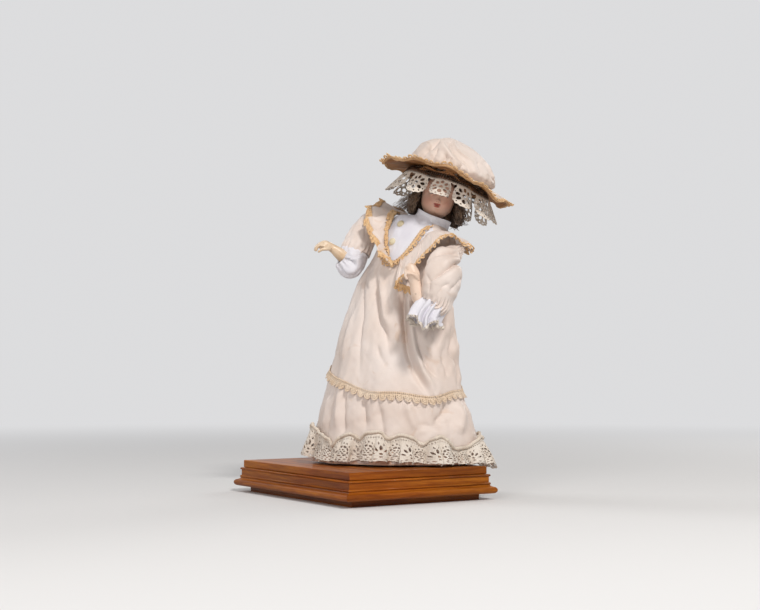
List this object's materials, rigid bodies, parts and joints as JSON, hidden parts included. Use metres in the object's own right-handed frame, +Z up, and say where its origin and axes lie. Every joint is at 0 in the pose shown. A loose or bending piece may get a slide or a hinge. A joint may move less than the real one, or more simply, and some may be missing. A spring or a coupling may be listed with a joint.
{
  "type": "clockwork doll automaton",
  "caption": "Clockwork doll automaton: a bisque-headed lady in a mob hat, curled wig and lace-trimmed silk gown, arms raised, on a moulded oak base that hides the spring movement.",
  "frame": {"origin": "middle of the base's underside, where it stands on the table", "axes": "+X along the base's long side, +Y along its short side towards the winding key, +Z up"},
  "size_m": [0.3099, 0.3058, 0.4942],
  "materials": {
    "bisque": "unglazed, painted",
    "brass": "satin",
    "cream_silk": "soft satin weave",
    "dark_wood": "dark stain",
    "gold_lace": "matt",
    "hair": "soft sheen",
    "ivory_lace": "matt",
    "papier_mache": "matt",
    "stained_oak": "satin varnish",
    "steel": "satin",
    "white_cotton": "matt"
  },
  "bodies": {
    "root": {"bib": "white_cotton", "button_lower": "cream_silk", "button_upper": "cream_silk", "collar": "white_cotton", "figure_post": "steel", "frame_front": "stained_oak", "frame_left": "stained_oak", "frame_rear": "stained_oak", "frame_right": "stained_oak", "gown": "cream_silk", "gown_band": "gold_lace", "hem_lace": "ivory_lace", "left_ruffle": "cream_silk", "lever_shaft": "steel", "moulding_front": "stained_oak", "moulding_left": "stained_oak", "moulding_rear": "stained_oak", "moulding_right": "stained_oak", "movement_front_plate": "brass", "movement_rear_plate": "brass", "petticoat": "white_cotton", "plinth_tray": "dark_wood", "right_ruffle": "cream_silk", "stop_lever_pin": "steel", "top_board": "stained_oak", "torso": "papier_mache"},
    "neck": {"neck_yoke": "steel"},
    "head": {"head": "bisque", "wig": "hair", "hat_crown": "cream_silk", "hat_brim": "cream_silk", "hat_lace": "ivory_lace"},
    "right_arm": {"right_arm": "steel", "right_sleeve": "cream_silk", "right_cuff": "white_cotton", "right_hand": "bisque"},
    "left_arm": {"left_arm": "steel", "left_sleeve": "cream_silk", "left_cuff": "white_cotton", "left_hand": "bisque"},
    "right_arm_rod": {"right_arm_rod": "steel"},
    "head_turn_rod": {"head_turn_rod": "steel"},
    "head_nod_rod": {"head_nod_rod": "steel"},
    "left_arm_rod": {"left_arm_rod": "steel"},
    "right_arm_lever": {"right_arm_lever": "steel"},
    "head_turn_lever": {"head_turn_lever": "steel"},
    "head_nod_lever": {"head_nod_lever": "steel"},
    "left_arm_lever": {"left_arm_lever": "steel"},
    "key": {"winding_arbor": "steel", "winding_key": "brass"},
    "barrel_arbor": {"barrel_arbor": "steel", "winding_wheel": "brass"},
    "barrel": {"spring_barrel": "brass", "mainspring": "steel"},
    "camshaft": {"camshaft": "steel", "cam_wheel": "brass"},
    "second_arbor": {"second_arbor": "steel", "second_wheel": "brass"},
    "fly": {"fly_arbor": "steel"},
    "stop_lever": {"stop_lever": "brass"}
  },
  "joints": [
    {"name": "head_turn", "type": "hinge", "parent": "root", "child": "neck", "pos_m": [0.05138, 0.08491, 0.378], "axis": [0.1219, 0.1891, 0.9744], "range_deg": [-18, 18]},
    {"name": "head_nod", "type": "hinge", "parent": "neck", "child": "head", "pos_m": [0.05162, 0.08529, 0.37995], "axis": [0.5278, 0.819, -0.225], "range_deg": [-3, 6]},
    {"name": "right_arm_swing", "type": "hinge", "parent": "root", "child": "right_arm", "pos_m": [0.04935, 0.07254, 0.36], "axis": [0.8457, 0.3986, -0.355], "range_deg": [-14, 2]},
    {"name": "left_arm_swing", "type": "hinge", "parent": "root", "child": "left_arm", "pos_m": [0.04935, 0.07254, 0.36], "axis": [0.8457, 0.3986, -0.355], "range_deg": [-5, 5]},
    {"name": "right_arm_rod_slide", "type": "slide", "parent": "root", "child": "right_arm_rod", "axis": [0, 0, 1], "range_m": [-0.00034, 0.00222]},
    {"name": "right_arm_lever_rock", "type": "hinge", "parent": "root", "child": "right_arm_lever", "pos_m": [-0.052, 0.0394, 0.0101], "axis": [0, 1, 0], "range_deg": [-1.45, 0.22]},
    {"name": "head_turn_rod_slide", "type": "slide", "parent": "root", "child": "head_turn_rod", "axis": [0, 0, 1], "range_m": [-0.00065, 0.00065]},
    {"name": "head_turn_lever_rock", "type": "hinge", "parent": "root", "child": "head_turn_lever", "pos_m": [-0.052, 0.0454, 0.0101], "axis": [0, 1, 0], "range_deg": [-0.42, 0.42]},
    {"name": "head_nod_rod_slide", "type": "slide", "parent": "root", "child": "head_nod_rod", "axis": [0, 0, 1], "range_m": [-0.00055, 0.00029]},
    {"name": "head_nod_lever_rock", "type": "hinge", "parent": "root", "child": "head_nod_lever", "pos_m": [-0.052, 0.0514, 0.0101], "axis": [0, 1, 0], "range_deg": [-0.19, 0.36]},
    {"name": "left_arm_rod_slide", "type": "slide", "parent": "root", "child": "left_arm_rod", "axis": [0, 0, 1], "range_m": [-0.00081, 0.00081]},
    {"name": "left_arm_lever_rock", "type": "hinge", "parent": "root", "child": "left_arm_lever", "pos_m": [-0.052, 0.0574, 0.0101], "axis": [0, 1, 0], "range_deg": [-0.53, 0.53]},
    {"name": "key_turn", "type": "hinge", "parent": "root", "child": "key", "pos_m": [-0.03428, 0.053, 0.0275], "axis": [0, 1, 0], "continuous": true},
    {"name": "winding_wheel_turn", "type": "hinge", "parent": "root", "child": "barrel_arbor", "pos_m": [-0.0248, 0.053, 0.0192], "axis": [0, 1, 0], "continuous": true},
    {"name": "barrel_turn", "type": "hinge", "parent": "root", "child": "barrel", "pos_m": [-0.0248, 0.053, 0.0192], "axis": [0, 1, 0], "continuous": true},
    {"name": "camshaft_turn", "type": "hinge", "parent": "root", "child": "camshaft", "pos_m": [-0.008, 0.053, 0.0192], "axis": [0, 1, 0], "continuous": true},
    {"name": "second_arbor_turn", "type": "hinge", "parent": "root", "child": "second_arbor", "pos_m": [0.0088, 0.053, 0.0192], "axis": [0, 1, 0], "continuous": true},
    {"name": "fly_turn", "type": "hinge", "parent": "root", "child": "fly", "pos_m": [0.0256, 0.053, 0.0192], "axis": [0, 1, 0], "continuous": true},
    {"name": "stop_lever_turn", "type": "hinge", "parent": "root", "child": "stop_lever", "pos_m": [0.046, 0.0913, 0.0275], "axis": [0, 0, 1], "range_deg": [-8, 8]}
  ],
  "couplings": [
    {"joint": "right_arm_rod_slide", "follows": "right_arm_swing", "m_per_rad": -0.009},
    {"joint": "right_arm_lever_rock", "follows": "right_arm_swing", "ratio": 0.10227},
    {"joint": "head_turn_rod_slide", "follows": "head_turn", "m_per_rad": 0.002},
    {"joint": "head_turn_lever_rock", "follows": "head_turn", "ratio": -0.022727},
    {"joint": "head_nod_rod_slide", "follows": "head_nod", "m_per_rad": -0.005},
    {"joint": "head_nod_lever_rock", "follows": "head_nod", "ratio": 0.056818},
    {"joint": "left_arm_rod_slide", "follows": "left_arm_swing", "m_per_rad": -0.009},
    {"joint": "left_arm_lever_rock", "follows": "left_arm_swing", "ratio": 0.10227},
    {"joint": "winding_wheel_turn", "follows": "key_turn", "ratio": -0.5},
    {"joint": "camshaft_turn", "follows": "barrel_turn", "ratio": -3},
    {"joint": "second_arbor_turn", "follows": "barrel_turn", "ratio": 9},
    {"joint": "fly_turn", "follows": "barrel_turn", "ratio": -27}
  ]
}
